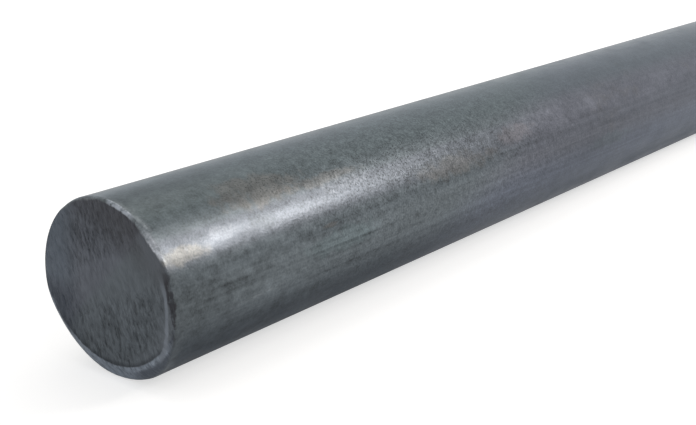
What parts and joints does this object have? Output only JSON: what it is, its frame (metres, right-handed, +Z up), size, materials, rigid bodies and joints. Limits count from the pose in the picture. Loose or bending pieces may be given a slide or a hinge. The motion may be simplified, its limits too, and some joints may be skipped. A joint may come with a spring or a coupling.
{
  "type": "round metal bar",
  "caption": "Solid hot-rolled round steel bar with dark mill scale on its side and sawn ends, one of them with a worn rim; stock for turning, forging or welding.",
  "frame": {"origin": "on the floor under the middle of the bar, on the line that the bar rests on", "axes": "+X along the bar's axis, from the sawn end with the worn rim towards the plain sawn end; +Y level and square to it; +Z up"},
  "size_m": [0.5, 0.05, 0.05],
  "materials": {
    "hot_rolled_steel": "satin"
  },
  "bodies": {
    "root": {"round_bar": "hot_rolled_steel"}
  },
  "joints": []
}
